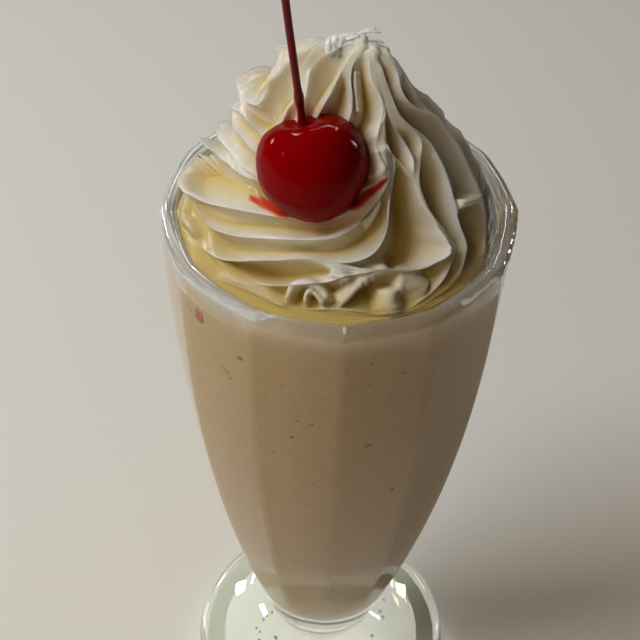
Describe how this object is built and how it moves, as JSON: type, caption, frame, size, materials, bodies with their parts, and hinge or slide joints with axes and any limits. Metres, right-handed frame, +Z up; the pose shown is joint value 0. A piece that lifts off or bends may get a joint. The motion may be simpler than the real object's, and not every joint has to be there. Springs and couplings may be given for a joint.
{
  "type": "butter pecan milkshake in a footed soda glass",
  "caption": "Tall footed soda glass with soft flutes, filled with a pale nut milkshake under piped whipped cream and a stemmed cherry.",
  "frame": {"origin": "centre of the flat ring under the glass's foot, on the surface that it stands on", "axes": "+Z up along the glass's axis, -Y towards the side with the cherry, +X to the right as seen from there"},
  "size_m": [0.0848, 0.0848, 0.258],
  "materials": {
    "clear_glass": "pressed soda-lime glass, polished, clear with a faint grey-green edge",
    "milkshake": "thick opaque shake, pale tan, with small dark nut specks",
    "whipped_cream": "piped dairy cream, warm white, soft satin",
    "cherry": "preserved cherry, deep red, wet with syrup",
    "cherry_stem": "stained stalk, dark red-brown, wet"
  },
  "bodies": {
    "root": {"glass": "clear_glass", "milkshake": "milkshake", "whipped_cream": "whipped_cream", "cherry": "cherry", "cherry_stem": "cherry_stem"}
  },
  "joints": []
}
